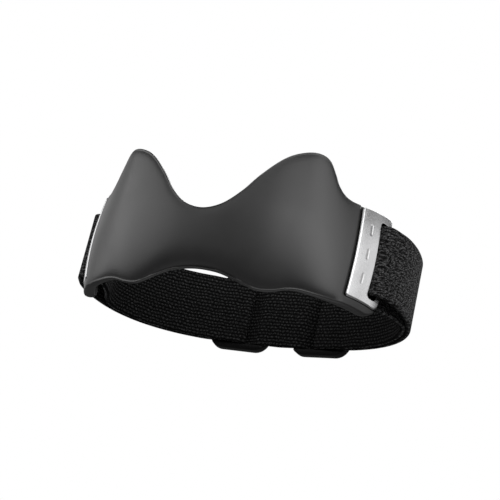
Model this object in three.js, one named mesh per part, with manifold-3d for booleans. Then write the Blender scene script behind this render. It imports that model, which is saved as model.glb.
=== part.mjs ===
// A patella strap: a moulded guard shell with two upward peaks, a metal slot plate at each end of it,
// and one knitted elastic strap that runs round both plates to two sliders at the back.
// Millimetres. +Z runs up the leg, the shell faces -Y, and the origin is the middle of the loop.
import * as THREE from "three";
import { mergeVertices } from "three/addons/utils/BufferGeometryUtils.js";
import Module from "manifold-3d";

const wasm = await Module();
wasm.setup();

// Clearance kept between pieces that touch, and between the strap's own layers
const gap = 0.3;

// Strap
const strapWidth = 30;
const strapThick = 2.2;
const strapEdge = 0.7; // rounding along the strap's long edges
const foldThick = 1.2; // the strap's end, pressed flat round the slider's centre bar
const crossThick = 1.5; // the strap where it is drawn over that bar
const pressedThick = 1.6; // the strap under the slider's side bars

// Shell, in plan and as a wall
const shellHalfWidth = 67;
const shellFrontDepth = 46.6;
const shellPower = 2.3; // exponent of the plan's superellipse
const shellWall = 2.8;
const shellEndWall = 4.6; // total with the plate, where the strap passes through
const shellEndNose = 1.6; // rounding of the wall at the shell's ends

// Shell, heights of its outline above and below the middle of the strap
const peakHeight = 34.6;
const skirtDepth = 25.1;
const frontRun = 64.8; // along the shell, from its middle to where its outline's ends begin
const plateStart = 63.9; // and to the plate's inner edge

// Shell, how far its face stands out of the plan curve
const bellyOut = 3.6;
const bellyHeight = 10; // the height at which the belly stands out furthest
const skirtTuck = 7.8; // how far the face falls back from the belly to the skirt's edge
const peakTuck = 0.3; // and from the belly to the peaks
const bellyEnd = 0.59; // share of the plate's distance up to which the belly is full
const endBow = 1.5; // the upright bow of the shell's ends and the plates
const grooveDepth = 1.3; // hollow just above the lower edge
const grooveHeight = 2; // its middle above that edge
const grooveReach = 2.2; // how much further it fades out upwards than downwards
const grooveFalloff = 1.3;
const rimDepth = 0.5; // hollow just below the upper edge

// Plate
const plateThick = 1.2;
const plateProud = 0.3;
const plateRail = 3.3; // metal above and below the slot
const plateRise = 1.4; // how much the top edge climbs towards the end
const innerBar = 10.1; // metal between the plate's inner edge and the slot
const outerBar = 3.1;
const slotPlay = 3; // room in the slot beside the strap
const slotRoom = 1.3; // room above and below the strap
const plateInnerCorner = 1.4;
const plateOuterCorner = 3.6;
const slotCorner = 1.6;
const topBorder = 0.7; // shell above the plate
const bottomBorder = 3.8; // and below it
const endBorder = 1.1; // and past its end
const endTopCorner = 4.8;
const endBottomCorner = 8.6;

// Loop behind the shell
const loopBackDepth = 53.4;
const loopPower = 2.5;
const turnAir = 3; // air between the plate and the strap's outer layer at its widest

// Sliders
const sliderWidth = 28.2; // along the strap
const sliderRail = 2.8; // frame above and below the strap
const sliderRoom = 0.2; // room between the rails and the strap's edges
const sliderSink = 1.2; // how deep the slider presses into the strap
const sliderThick = 2.5;
const sliderSpacing = 11.7; // between the two sliders, along the strap's outer face
const sideBar = 3.4;
const centreBar = 3.2;
const centreBarThick = 1.6;
const sliderCorner = 6.5;
const sliderBevel = 0.5;

// Sizes that follow
const slotWidth = strapThick + slotPlay;
const slotHalf = strapWidth / 2 + slotRoom;
const plateHalf = slotHalf + plateRail;
const slotStart = plateStart + innerBar;
const slotEnd = slotStart + slotWidth;
const plateEnd = slotEnd + outerBar;
const shellEnd = plateEnd + endBorder;
const crown = plateProud + endBow; // the plate's furthest point out of the plan curve
const loopHalfWidth = shellHalfWidth + crown + turnAir + strapThick;
const sliderMiddle = (sliderSpacing + sliderWidth) / 2;
const sliderHalfHeight = strapWidth / 2 + sliderRoom + sliderRail;

// Sample counts
const curveSamples = 900;
const shellColumns = 56;
const faceRows = 12;
const rimRows = 3;
const plateColumns = 10;
const plateRows = 6;
const strapSteps = 2; // between two stations of the strap's way
const cornerSteps = 4; // round a slider's corner

// Half of the shell's upper edge from its middle (0) to the plate (1). Heights are shares of the
// peak's height and of the end's height.
const UPPER_EDGE = [
  { along: 0, peak: 0.151, end: 0 },
  { along: 0.127, peak: 0.214, end: 0 },
  { along: 0.235, peak: 0.388, end: 0 },
  { along: 0.327, peak: 0.611, end: 0 },
  { along: 0.443, peak: 0.842, end: 0 },
  { along: 0.54, peak: 0.953, end: 0 },
  { along: 0.645, peak: 1, end: 0 },
  { along: 0.718, peak: 0.959, end: 0 },
  { along: 0.77, peak: 0.819, end: 0 },
  { along: 0.802, peak: 0.708, end: 0 },
  { along: 0.849, peak: 0.05, end: 1 },
  { along: 0.905, peak: 0.01, end: 1 },
  { along: 1, peak: 0, end: 1 },
];

// Half of the shell's lower edge in the same way. Depths are shares of the skirt's and the end's.
const LOWER_EDGE = [
  { along: 0, skirt: 0.757, end: 0 },
  { along: 0.15, skirt: 0.793, end: 0 },
  { along: 0.262, skirt: 0.873, end: 0 },
  { along: 0.34, skirt: 0.94, end: 0 },
  { along: 0.441, skirt: 1, end: 0 },
  { along: 0.534, skirt: 0.98, end: 0 },
  { along: 0.617, skirt: 0.924, end: 0 },
  { along: 0.694, skirt: 0.904, end: 0 },
  { along: 0.8, skirt: 0, end: 0.987 },
  { along: 0.895, skirt: 0, end: 0.998 },
  { along: 1, skirt: 0, end: 1 },
];

// The strap's turn round the plate's outer bar, from outside to inside. reach is a share of the way
// from the strap's place in the slot to the bar's far edge. crown, air and under are shares of the
// plate's crown with the strap on it, of the turn's air, and of the wall with the strap under it.
const SLOT_TURN = [
  { reach: 1.6, crown: 1, air: 0.79, under: 0 },
  { reach: 0.87, crown: 1, air: 0.44, under: 0 },
  { reach: 0.46, crown: 1, air: 0.27, under: 0 },
  { reach: 0.17, crown: 1, air: 0, under: 0 },
  { reach: 0.02, crown: 0.34, air: 0, under: 0 },
  { reach: 0, crown: 0, air: 0, under: 0.38 },
  { reach: 0.02, crown: 0, air: 0, under: 0.72 },
  { reach: 0.17, crown: 0, air: 0, under: 0.94 },
  { reach: 0.55, crown: 0, air: 0, under: 1 },
  { reach: 1, crown: 0, air: 0, under: 1 },
];

// The inner layer's way from that turn out to the outer layer: shares of the distance.
const CLOSE_UP = [
  { along: 0.34, across: 0.34 },
  { along: 0.68, across: 0.86 },
];

// Smooth step from 0 to 1.
function smooth(share) {
  return THREE.MathUtils.smoothstep(share, 0, 1);
}

// A quarter of a superellipse as a curve by arc length from the Y axis. side is -1 for the front,
// 1 for the back. A point has its place, its direction along the arc and its outward normal.
function quarterCurve(halfWidth, depth, power, side) {
  const points = [];
  const lengths = [0];
  for (let i = 0; i <= curveSamples; i++) {
    const angle = (i / curveSamples) * (Math.PI / 2);
    const x = halfWidth * Math.sin(angle) ** (2 / power);
    const y = side * depth * Math.cos(angle) ** (2 / power);
    points.push(new THREE.Vector2(x, y));
    if (i) lengths.push(lengths[i - 1] + points[i].distanceTo(points[i - 1]));
  }
  const length = lengths[curveSamples];
  const place = (arc) => {
    const mirror = arc < 0 ? -1 : 1;
    const wanted = Math.min(Math.abs(arc), length);
    let i = 1;
    while (i < curveSamples && lengths[i] < wanted) i++;
    const share = (wanted - lengths[i - 1]) / (lengths[i] - lengths[i - 1]);
    const p = points[i - 1].clone().lerp(points[i], share);
    p.x *= mirror;
    return p;
  };
  const at = (arc) => {
    const step = 0.4;
    const along = place(arc + step).sub(place(arc - step)).normalize();
    return { p: place(arc), along, out: new THREE.Vector2(-side * along.y, side * along.x) };
  };
  return { length, at };
}

const front = quarterCurve(shellHalfWidth, shellFrontDepth, shellPower, -1);
const back = quarterCurve(loopHalfWidth, loopBackDepth, loopPower, 1);

// The point at a distance out of a quarter curve, seen from above.
function offCurve(curve, arc, out) {
  const { p, out: normal } = curve.at(arc);
  return new THREE.Vector2(p.x + normal.x * out, p.y + normal.y * out);
}

// A height over the arc, read from a smooth curve through a table's rows.
function edgeCurve(rows, height) {
  const spots = rows.map((row) => new THREE.Vector2(row.along * frontRun, height(row)));
  const mirrored = [new THREE.Vector2(-spots[1].x, spots[1].y), ...spots];
  const line = new THREE.SplineCurve(mirrored).getPoints(curveSamples / 3);
  return (arc) => {
    const wanted = Math.abs(arc);
    const i = Math.max(1, line.findIndex((q) => q.x >= wanted));
    const share = (wanted - line[i - 1].x) / (line[i].x - line[i - 1].x);
    return THREE.MathUtils.lerp(line[i - 1].y, line[i].y, share);
  };
}

// The plate's top edge climbs a little towards its end.
function plateTop(arc) {
  const share = (Math.abs(arc) - plateStart) / (plateEnd - plateStart);
  return plateHalf + plateRise * (share - 0.5);
}

const endTop = plateTop(frontRun) + topBorder;
const endBottom = plateHalf + bottomBorder;
const frontTop = edgeCurve(UPPER_EDGE, (row) => row.peak * peakHeight + row.end * endTop);
const frontBottom = edgeCurve(LOWER_EDGE, (row) => row.skirt * skirtDepth + row.end * endBottom);

// How much a rounded corner takes off an edge at a distance from the corner's end.
function cornerCut(distance, radius) {
  const inside = radius - Math.min(Math.max(distance, 0), radius);
  return radius - Math.sqrt(radius * radius - inside * inside);
}

function shellTop(arc) {
  const side = Math.abs(arc);
  const edge = side < frontRun ? frontTop(side) : plateTop(side) + topBorder;
  return edge - cornerCut(shellEnd - side, endTopCorner);
}

function shellBottom(arc) {
  const side = Math.abs(arc);
  const edge = side < frontRun ? frontBottom(side) : endBottom;
  return -(edge - cornerCut(shellEnd - side, endBottomCorner));
}

// How much of the belly is left at a place along the shell: all in front, none at the plates.
function bellyShare(arc) {
  const from = plateStart * bellyEnd;
  return 1 - smooth((Math.abs(arc) - from) / (plateStart - from));
}

// How far the shell's face stands out of the plan curve.
function faceOut(arc, z) {
  const down = (bellyHeight - z) / (bellyHeight + skirtDepth);
  const up = (z - bellyHeight) / (peakHeight - bellyHeight);
  const belly = bellyOut - (z < bellyHeight ? skirtTuck * down ** 2 : peakTuck * up ** 2);
  const bow = endBow * (1 - (z / plateHalf) ** 2);
  const share = bellyShare(arc);
  return share * belly + (1 - share) * bow;
}

// The hollows that run along the shell's lower and upper edges, fading out at the plates.
function edgeHollow(arc, z) {
  const hollow = (distance) => {
    const share = distance / grooveHeight - 1;
    const drawn = share > 0 ? share / grooveReach : share;
    return Math.exp(-(drawn ** 2) * grooveFalloff);
  };
  const low = grooveDepth * hollow(z - shellBottom(arc));
  const high = rimDepth * hollow(shellTop(arc) - z);
  return (low + high) * smooth((plateStart - Math.abs(arc)) / grooveHeight / grooveReach);
}

function wallAt(arc) {
  const thicker = smooth(1 - (plateStart - Math.abs(arc)) / (plateStart * (1 - bellyEnd)));
  const wall = THREE.MathUtils.lerp(shellWall, shellEndWall, thicker);
  const noseShare = 1 - Math.min((shellEnd - Math.abs(arc)) / shellEndNose, 1);
  return wall * Math.sqrt(1 - 0.75 * noseShare ** 2);
}

// A closed body through rings of the same number of points, with a cap at each end: drawn to the
// ring's middle, or for a bowed ring as a ladder between its two faces. fold is then the sum of the
// numbers of two points that face each other.
function loft(rings, fold) {
  const count = rings[0].length;
  const places = rings.flat().flatMap((p) => [p.x, p.y, p.z]);
  const faces = [];
  const quad = (a, b, c, d) => faces.push(a, b, c, a, c, d);
  for (let i = 0; i + 1 < rings.length; i++)
    for (let j = 0; j < count; j++) {
      const next = (j + 1) % count;
      const here = i * count;
      quad(here + j, here + next, here + count + next, here + count + j);
    }
  const cap = fold === undefined ? fan : ladder;
  cap(rings[0], 0).forEach((triangle) => faces.push(...triangle.reverse()));
  cap(rings[rings.length - 1], (rings.length - 1) * count).forEach((triangle) => faces.push(...triangle));

  function fan(ring, start) {
    const middle = new THREE.Vector3();
    ring.forEach((p) => middle.addScaledVector(p, 1 / count));
    const centre = places.length / 3;
    places.push(middle.x, middle.y, middle.z);
    return ring.map((_, j) => [start + j, start + ((j + 1) % count), centre]);
  }

  function ladder(ring, start) {
    const at = (j) => start + ((j + count) % count);
    const triangles = [];
    for (let j = Math.ceil(fold / 2) - count / 2; j < Math.floor(fold / 2); j++) {
      const [a, b, c, d] = [j, j + 1, fold - j - 1, fold - j].map(at);
      if (b !== c) triangles.push([a, b, c]);
      if (a !== d) triangles.push([a, c, d]);
    }
    return triangles;
  }
  const geometry = new THREE.BufferGeometry();
  geometry.setAttribute("position", new THREE.Float32BufferAttribute(places, 3));
  geometry.setIndex(faces);
  return facingOut(geometry);
}

// The geometry with its faces turned round if they point inwards.
function facingOut(geometry) {
  const place = geometry.attributes.position;
  const index = geometry.index.array;
  const [a, b, c] = [new THREE.Vector3(), new THREE.Vector3(), new THREE.Vector3()];
  let volume = 0;
  for (let i = 0; i < index.length; i += 3) {
    a.fromBufferAttribute(place, index[i]);
    b.fromBufferAttribute(place, index[i + 1]);
    c.fromBufferAttribute(place, index[i + 2]);
    volume += a.dot(b.cross(c));
  }
  if (volume < 0) {
    for (let i = 0; i < index.length; i += 3) {
      [index[i + 1], index[i + 2]] = [index[i + 2], index[i + 1]];
    }
  }
  return geometry;
}

function solid(geometry) {
  const bare = new THREE.BufferGeometry();
  bare.setAttribute("position", geometry.getAttribute("position"));
  if (geometry.index) bare.setIndex(geometry.index);
  const merged = mergeVertices(bare, 1e-4);
  const vertProperties = new Float32Array(merged.attributes.position.array);
  const triVerts = new Uint32Array(merged.index.array);
  return new wasm.Manifold(new wasm.Mesh({ numProp: 3, vertProperties, triVerts }));
}

function geometryOf(body) {
  const mesh = body.getMesh();
  const geometry = new THREE.BufferGeometry();
  geometry.setAttribute("position", new THREE.BufferAttribute(mesh.vertProperties, 3));
  geometry.setIndex(new THREE.BufferAttribute(mesh.triVerts, 1));
  geometry.computeVertexNormals();
  return geometry;
}

// A ring across the wall at one place along the shell: up the face, over the rim, down the inside
// and round the lower rim. outer and inner give the distance out of the plan curve at a height.
function wallRing({ arc, top, bottom, rim, rows, outer, inner }) {
  const ring = [];
  const add = (z, out) => {
    const p = offCurve(front, arc, out);
    ring.push(new THREE.Vector3(p.x, p.y, z));
  };
  const row = (i) => THREE.MathUtils.lerp(bottom + rim, top - rim, i / rows);
  const edge = (z, up) => {
    const middle = (outer(z) + inner(z)) / 2;
    const half = (outer(z) - inner(z)) / 2;
    for (let k = 1; k < rimRows; k++) {
      const turn = (Math.PI * k) / rimRows;
      add(z + up * rim * Math.sin(turn), middle + up * half * Math.cos(turn));
    }
  };
  for (let i = 0; i <= rows; i++) add(row(i), outer(row(i)));
  edge(top - rim, 1);
  for (let i = rows; i >= 0; i--) add(row(i), inner(row(i)));
  edge(bottom + rim, -1);
  return ring;
}

// The sum of the numbers of two points of a wall's ring that face each other.
function wallFold(rows) {
  return 2 * rows + rimRows;
}

// Places along the arc, closer together towards both ends.
function crowded(from, to, count) {
  return Array.from({ length: count + 1 }, (_, i) => {
    const even = i / count;
    const drawn = (1 - Math.cos(Math.PI * even)) / 2;
    return THREE.MathUtils.lerp(from, to, (even + drawn) / 2);
  });
}

function shellBody() {
  const arcs = [-1, 1].flatMap((side) =>
    crowded(0, shellEnd, shellColumns / 2).map((arc) => side * arc),
  );
  const sorted = [...new Set(arcs.map((arc) => arc + 0))].sort((a, b) => a - b);
  return solid(
    loft(
      sorted.map((arc) =>
        wallRing({
          arc,
          top: shellTop(arc),
          bottom: shellBottom(arc),
          rim: wallAt(arc) * 0.4,
          rows: faceRows,
          outer: (z) => faceOut(arc, z) - edgeHollow(arc, z),
          inner: (z) => faceOut(arc, z) - edgeHollow(arc, z) * 0.6 - wallAt(arc),
        }),
      ),
      wallFold(faceRows),
    ),
  );
}

// A slab that follows the shell's face between two places along it.
function faceSlab({ from, to, top, bottom, corner, high, low, rim }) {
  const rings = crowded(from, to, plateColumns).map((arc) => {
    const cut = cornerCut(arc - from, corner.inner) + cornerCut(to - arc, corner.outer);
    return wallRing({
      arc,
      top: top(arc) - cut,
      bottom: bottom + cut,
      rim,
      rows: plateRows,
      outer: (z) => faceOut(arc, z) + high,
      inner: (z) => faceOut(arc, z) + low,
    });
  });
  return solid(loft(rings, wallFold(plateRows)));
}

function plateSlab() {
  return faceSlab({
    from: plateStart,
    to: plateEnd,
    top: plateTop,
    bottom: -plateHalf,
    corner: { inner: plateInnerCorner, outer: plateOuterCorner },
    high: plateProud,
    low: plateProud - plateThick,
    rim: plateThick / 4,
  });
}

// The pocket in the shell that a plate lies in.
function platePocket() {
  return faceSlab({
    from: plateStart - gap * 2,
    to: plateEnd + gap,
    top: (arc) => plateTop(arc) + gap,
    bottom: -plateHalf - gap,
    corner: { inner: plateInnerCorner, outer: plateOuterCorner },
    high: shellEndWall,
    low: plateProud - plateThick - gap,
    rim: gap / 4,
  });
}

// The slot through plate and shell.
function slotCut() {
  return faceSlab({
    from: slotStart,
    to: slotEnd,
    top: () => slotHalf,
    bottom: -slotHalf,
    corner: { inner: slotCorner, outer: slotCorner },
    high: shellEndWall,
    low: -shellEndWall * 2,
    rim: gap / 4,
  });
}

function mirrored(body) {
  const geometry = geometryOf(body);
  geometry.scale(-1, 1, 1);
  return solid(facingOut(geometry));
}

// One station of the strap's way: a place seen from above, with the strap's thickness there.
function station(p, thick) {
  return new THREE.Vector3(p.x, p.y, thick);
}

// A point in the slider's own frame: along the strap from the slider's middle, and out of it.
function sliderPoint(along, out) {
  const { p, along: direction, out: normal } = back.at(sliderMiddle);
  return new THREE.Vector2(
    p.x + direction.x * along + normal.x * (out - sliderSink),
    p.y + direction.y * along + normal.y * (out - sliderSink),
  );
}

// A layer where it lies flat under one of the slider's side bars. layer is 0 for the outer one.
function underSideBar(side, layer) {
  const along = side * (sliderWidth / 2 - sideBar / 2);
  const depth = pressedThick / 2 + layer * (pressedThick + gap);
  return station(sliderPoint(along, -depth), pressedThick);
}

// Places along the back loop between the slider and the widest point, shared by both layers.
function loopArcs() {
  const from = sliderMiddle + sliderWidth / 2 + sideBar;
  const to = back.length - strapThick;
  const count = 8;
  return Array.from({ length: count + 1 }, (_, i) => THREE.MathUtils.lerp(from, to, i / count));
}

// The running layer over the slider's centre bar, from the middle of the back outwards.
function overCentreBar() {
  const lift = centreBarThick / 2 + gap + foldThick + gap + crossThick / 2;
  const open = sliderWidth / 2 - sideBar;
  const rows = [
    { along: -0.9, out: -0.08, thick: pressedThick },
    { along: -0.6, out: 0.55, thick: pressedThick },
    { along: -0.25, out: 0.95, thick: crossThick },
    { along: 0, out: 1, thick: crossThick },
    { along: 0.25, out: 0.95, thick: crossThick },
    { along: 0.6, out: 0.55, thick: pressedThick },
    { along: 0.9, out: -0.08, thick: pressedThick },
  ];
  return rows.map((row) => station(sliderPoint(row.along * open, row.out * lift), row.thick));
}

// The fixed end, folded round the centre bar from the inside.
function foldedEnd() {
  const reach = centreBarThick / 2 + gap + foldThick / 2;
  const side = (centreBar - centreBarThick) / 2;
  const rows = [
    { side: 6, along: 0, out: -1.4, thick: pressedThick },
    { side: 2, along: 0, out: -1.05, thick: foldThick },
    { side: -1, along: 0, out: -1, thick: foldThick },
    { side: -1, along: -0.7, out: -0.7, thick: foldThick },
    { side: -1, along: -1, out: 0, thick: foldThick },
    { side: -1, along: -0.7, out: 0.7, thick: foldThick },
    { side: -1, along: 0, out: 1, thick: foldThick },
    { side: 1.2, along: 0, out: 1, thick: foldThick },
  ];
  return rows.map((row) =>
    station(sliderPoint(row.side * side + row.along * reach, row.out * reach), row.thick),
  );
}

function slotTurn() {
  const lay = gap + strapThick / 2;
  const span = slotWidth + outerBar - lay;
  return SLOT_TURN.map((row) => {
    const over = row.crown * (crown + strapThick / 2) + row.air * turnAir;
    const under = row.under * (shellEndWall + gap + strapThick / 2);
    return station(offCurve(front, slotStart + lay + row.reach * span, over - under), strapThick);
  });
}

// The inner layer from the turn to its place against the outer layer.
function closeUp(from, to) {
  return CLOSE_UP.map((row) =>
    station(
      {
        x: THREE.MathUtils.lerp(from.x, to.x, row.across),
        y: THREE.MathUtils.lerp(from.y, to.y, row.along),
      },
      strapThick,
    ),
  );
}

// Half of the strap's way: from the middle of the back, over the slider's centre bar, along the
// outside, round the plate's outer bar, back along the inside and round the slider's centre bar.
function halfWay() {
  const outerDepth = -strapThick / 2;
  const innerDepth = -(strapThick * 1.5 + gap);
  const arcs = loopArcs();
  const outerLayer = arcs.map((arc) => station(offCurve(back, arc, outerDepth), strapThick));
  const innerLayer = arcs
    .slice(0, -2)
    .map((arc) => station(offCurve(back, arc, innerDepth), strapThick))
    .reverse();
  const turn = slotTurn();
  return [
    underSideBar(-1, 0),
    ...overCentreBar(),
    underSideBar(1, 0),
    ...outerLayer,
    ...turn,
    ...closeUp(turn[turn.length - 1], innerLayer[0]),
    ...innerLayer,
    underSideBar(1, 1),
    ...foldedEnd(),
  ];
}

function strapBody() {
  const half = halfWay();
  const otherHalf = half.map((p) => new THREE.Vector3(-p.x, p.y, p.z)).reverse();
  const middle = station(offCurve(back, 0, -strapThick / 2), strapThick);
  const way = new THREE.CatmullRomCurve3([...otherHalf, middle, ...half], false, "centripetal");
  const steps = (way.points.length - 1) * strapSteps;
  const rings = way.getPoints(steps).map((p, i) => {
    const along = way.getTangent(i / steps);
    const across = new THREE.Vector2(-along.y, along.x).normalize();
    return strapRing(p, across);
  });
  return loft(rings);
}

// The strap's section: a flat rectangle with its edges rounded off.
function strapRing(p, across) {
  const halfThick = p.z / 2;
  const halfWidth = strapWidth / 2;
  const edge = Math.min(strapEdge, halfThick / 2);
  const corners = [
    [halfThick, halfWidth - edge],
    [halfThick - edge, halfWidth],
    [edge - halfThick, halfWidth],
    [-halfThick, halfWidth - edge],
    [-halfThick, edge - halfWidth],
    [edge - halfThick, -halfWidth],
    [halfThick - edge, -halfWidth],
    [halfThick, edge - halfWidth],
  ];
  return corners.map(
    ([out, z]) => new THREE.Vector3(p.x + across.x * out, p.y + across.y * out, z),
  );
}

// A rectangle with rounded corners, centred on the origin.
function roundedRectangle(halfX, halfY, corner, path = new THREE.Shape()) {
  path.moveTo(corner - halfX, -halfY);
  path.lineTo(halfX - corner, -halfY);
  path.absarc(halfX - corner, corner - halfY, corner, -Math.PI / 2, 0);
  path.lineTo(halfX, halfY - corner);
  path.absarc(halfX - corner, halfY - corner, corner, 0, Math.PI / 2);
  path.lineTo(corner - halfX, halfY);
  path.absarc(corner - halfX, halfY - corner, corner, Math.PI / 2, Math.PI);
  path.lineTo(-halfX, corner - halfY);
  path.absarc(corner - halfX, corner - halfY, corner, Math.PI, Math.PI * 1.5);
  return path;
}

// A slider lies flat in X and Y here, with Z out of the strap.
function sliderBody() {
  const bevel = sliderBevel;
  const outline = roundedRectangle(
    sliderWidth / 2 - bevel,
    sliderHalfHeight - bevel,
    sliderCorner - bevel,
  );
  const windowX = sliderWidth / 2 - sideBar + bevel;
  const windowY = sliderHalfHeight - sliderRail + bevel;
  outline.holes.push(roundedRectangle(windowX, windowY, bevel * 2.4, new THREE.Path()));
  const frame = new THREE.ExtrudeGeometry(outline, {
    depth: sliderThick - 2 * bevel,
    bevelThickness: bevel,
    bevelSize: bevel,
    bevelSegments: 1,
    curveSegments: cornerSteps,
  });
  frame.translate(0, 0, gap + bevel); // on the strap, with the centre bar on the frame's origin
  const round = centreBarThick / 2;
  const section = roundedRectangle(centreBar / 2, round, round * 0.999);
  const length = 2 * (sliderHalfHeight - sliderRail / 2);
  const bar = new THREE.ExtrudeGeometry(section, {
    depth: length,
    bevelEnabled: false,
    curveSegments: cornerSteps,
  });
  bar.rotateX(Math.PI / 2);
  bar.translate(0, length / 2, 0);
  return geometryOf(solid(frame).add(solid(bar)));
}

const softPlastic = new THREE.MeshStandardMaterial({
  color: 0x4a494b,
  roughness: 0.55,
  metalness: 0,
});
const plateMetal = new THREE.MeshStandardMaterial({
  color: 0xc9c9c6,
  roughness: 0.28,
  metalness: 1,
});
const knit = new THREE.MeshStandardMaterial({ color: 0x1c1c1d, roughness: 0.95, metalness: 0 });
const hardPlastic = new THREE.MeshStandardMaterial({
  color: 0x0d0d0e,
  roughness: 0.4,
  metalness: 0,
});

function piece(name, geometry, material) {
  const mesh = new THREE.Mesh(geometry, material);
  mesh.name = name;
  return mesh;
}

function sliderPiece(name, side) {
  const { p, along, out } = back.at(side * sliderMiddle);
  p.addScaledVector(out, -sliderSink);
  const mesh = piece(name, sliderBody(), hardPlastic);
  const upright = new THREE.Matrix4().makeBasis(
    new THREE.Vector3(along.x, along.y, 0),
    new THREE.Vector3(0, 0, 1),
    new THREE.Vector3(out.x, out.y, 0),
  );
  upright.setPosition(p.x, p.y, 0);
  mesh.applyMatrix4(upright);
  return mesh;
}

const slot = slotCut();
const cuts = platePocket().add(slot);
const shell = shellBody().subtract(cuts).subtract(mirrored(cuts));
const plate = plateSlab().subtract(slot);

const patellaStrap = new THREE.Group();
patellaStrap.add(
  piece("guard_shell", geometryOf(shell), softPlastic),
  piece("slot_plate_right", geometryOf(plate), plateMetal),
  piece("slot_plate_left", geometryOf(mirrored(plate)), plateMetal),
  piece("knit_strap", strapBody(), knit),
  sliderPiece("slider_right", 1),
  sliderPiece("slider_left", -1),
);

export default patellaStrap;
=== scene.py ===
import math

import bmesh
import bpy
import numpy as np
from mathutils import Matrix, Vector


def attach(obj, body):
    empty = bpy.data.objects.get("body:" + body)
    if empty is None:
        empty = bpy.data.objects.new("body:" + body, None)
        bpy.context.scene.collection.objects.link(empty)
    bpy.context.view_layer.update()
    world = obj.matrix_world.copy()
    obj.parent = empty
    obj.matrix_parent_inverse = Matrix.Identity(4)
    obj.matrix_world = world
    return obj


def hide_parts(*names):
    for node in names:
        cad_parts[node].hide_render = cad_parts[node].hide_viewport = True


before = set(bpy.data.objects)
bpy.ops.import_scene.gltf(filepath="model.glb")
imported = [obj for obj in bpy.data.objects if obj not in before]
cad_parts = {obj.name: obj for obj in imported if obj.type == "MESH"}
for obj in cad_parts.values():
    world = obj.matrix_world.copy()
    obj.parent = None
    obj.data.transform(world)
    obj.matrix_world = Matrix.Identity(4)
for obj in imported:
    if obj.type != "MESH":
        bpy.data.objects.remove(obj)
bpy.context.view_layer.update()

MM = 0.001

# Clearance between pieces, and the band
GAP = 0.3
STRAP_WIDTH = 30
STRAP_THICK = 2.2
STRAP_EDGE = 0.8
FOLD_THICK = 1.2
CROSS_THICK = 1.5
PRESSED_THICK = 1.6

# Guard: plan curve, wall and outline
SHELL_HALF_WIDTH = 67
SHELL_FRONT_DEPTH = 46.6
SHELL_POWER = 2.3
SHELL_WALL = 2.8
SHELL_END_WALL = 4.6
SHELL_END_NOSE = 1.6
NOSE_SHARPNESS = 0.96
RIM_SHARE = 0.23
PEAK_HEIGHT = 34.6
SKIRT_DEPTH = 25.1
FRONT_RUN = 64.8
PLATE_START = 63.9

# Guard: how far its face stands out of the plan curve
BELLY_OUT = 3.6
BELLY_HEIGHT = 10
SKIRT_TUCK = 7.8
PEAK_TUCK = 0.3
BELLY_END = 0.59
END_BOW = 1.5

# Guard: the hollows along its edges, the thin lower lip and the seam beside the plates
HOLLOW_DEPTH = 0.55
HOLLOW_HEIGHT = 1.1
HOLLOW_REACH = 1.5
ARCH_REACH = 1.7
ARCH_RUN = 34
ARCH_DEEPER = 2.1
HOLLOW_FALLOFF = 2.5
HOLLOW_FADE = 5
UPPER_HOLLOW_DEPTH = 0.35
INNER_HOLLOW = 0.6
LIP_THINNER = 1.3
LIP_RUN_UP = 2.6
SEAM_DIP = 0.9
SEAM_RUN = 1.4
SEAM_PAST_PLATE = 0.5
SEAM_END_RUN = 2

# Plates
PLATE_THICK = 1.2
PLATE_PROUD = 0.3
PLATE_RAIL = 3.3
PLATE_RISE = 1.4
INNER_BAR = 10.1
OUTER_BAR = 3.1
SLOT_PLAY = 3
SLOT_ROOM = 1.3
PLATE_INNER_CORNER = 1.4
PLATE_OUTER_CORNER = 3.6
SLOT_CORNER = 1.6
TOP_BORDER = 0.7
BOTTOM_BORDER = 3.8
END_BORDER = 1.1
END_TOP_CORNER = 4.8
END_BOTTOM_CORNER = 8.6

# Loop behind the guard
LOOP_BACK_DEPTH = 53.4
LOOP_POWER = 2.5
TURN_AIR = 3

# Sliders
SLIDER_WIDTH = 28.2
SLIDER_RAIL = 2.8
SLIDER_ROOM = 0.2
SLIDER_SINK = 1.2
SLIDER_THICK = 2.5
SLIDER_SPACING = 11.7
SIDE_BAR = 3.4
CENTRE_BAR = 3.2
CENTRE_BAR_THICK = 1.6
SLIDER_CORNER = 6.5
WINDOW_CORNER = 1.2
RAIL_POINTS = 32
RAIL_SQUARENESS = 9
BAR_POINTS = 24
BAR_SQUARENESS = 2.6

# Inner lip of a slider's rails, beside the band's edges
RAIL_LIP = 1.4
RAIL_LIP_RUN = 0.25

# Sizes that follow
SLOT_WIDTH = STRAP_THICK + SLOT_PLAY
SLOT_HALF = STRAP_WIDTH / 2 + SLOT_ROOM
PLATE_HALF = SLOT_HALF + PLATE_RAIL
SLOT_START = PLATE_START + INNER_BAR
SLOT_END = SLOT_START + SLOT_WIDTH
PLATE_END = SLOT_END + OUTER_BAR
SHELL_END = PLATE_END + END_BORDER
CROWN = PLATE_PROUD + END_BOW
LOOP_HALF_WIDTH = SHELL_HALF_WIDTH + CROWN + TURN_AIR + STRAP_THICK
SLIDER_MIDDLE = (SLIDER_SPACING + SLIDER_WIDTH) / 2
SLIDER_HALF_HEIGHT = STRAP_WIDTH / 2 + SLIDER_ROOM + SLIDER_RAIL

# How many steps each form is drawn with
ARC_STEPS = 190
SEAM_STEPS = 8
END_STEPS = 34
FACE_STEPS = 90
RIM_STEPS = 10
CUTTER_ARC_STEPS = 48
CUTTER_FACE_STEPS = 30
CUTTER_RIM_STEPS = 2
EDGE_CURVE_STEPS = 60
BEVEL_STEPS = 6
PLATE_STEPS = 42
LOOP_STATIONS = 9
BAND_STEPS = 11
BAND_CORNER_STEPS = 5
BAND_SIDE_STEPS = 25
BAR_STEPS = 24

# Points at each corner, up each side and along each level edge of an outline
PLATE_POINTS = (12, 150, 16)
SLIDER_POINTS = (12, 30, 24)

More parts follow.
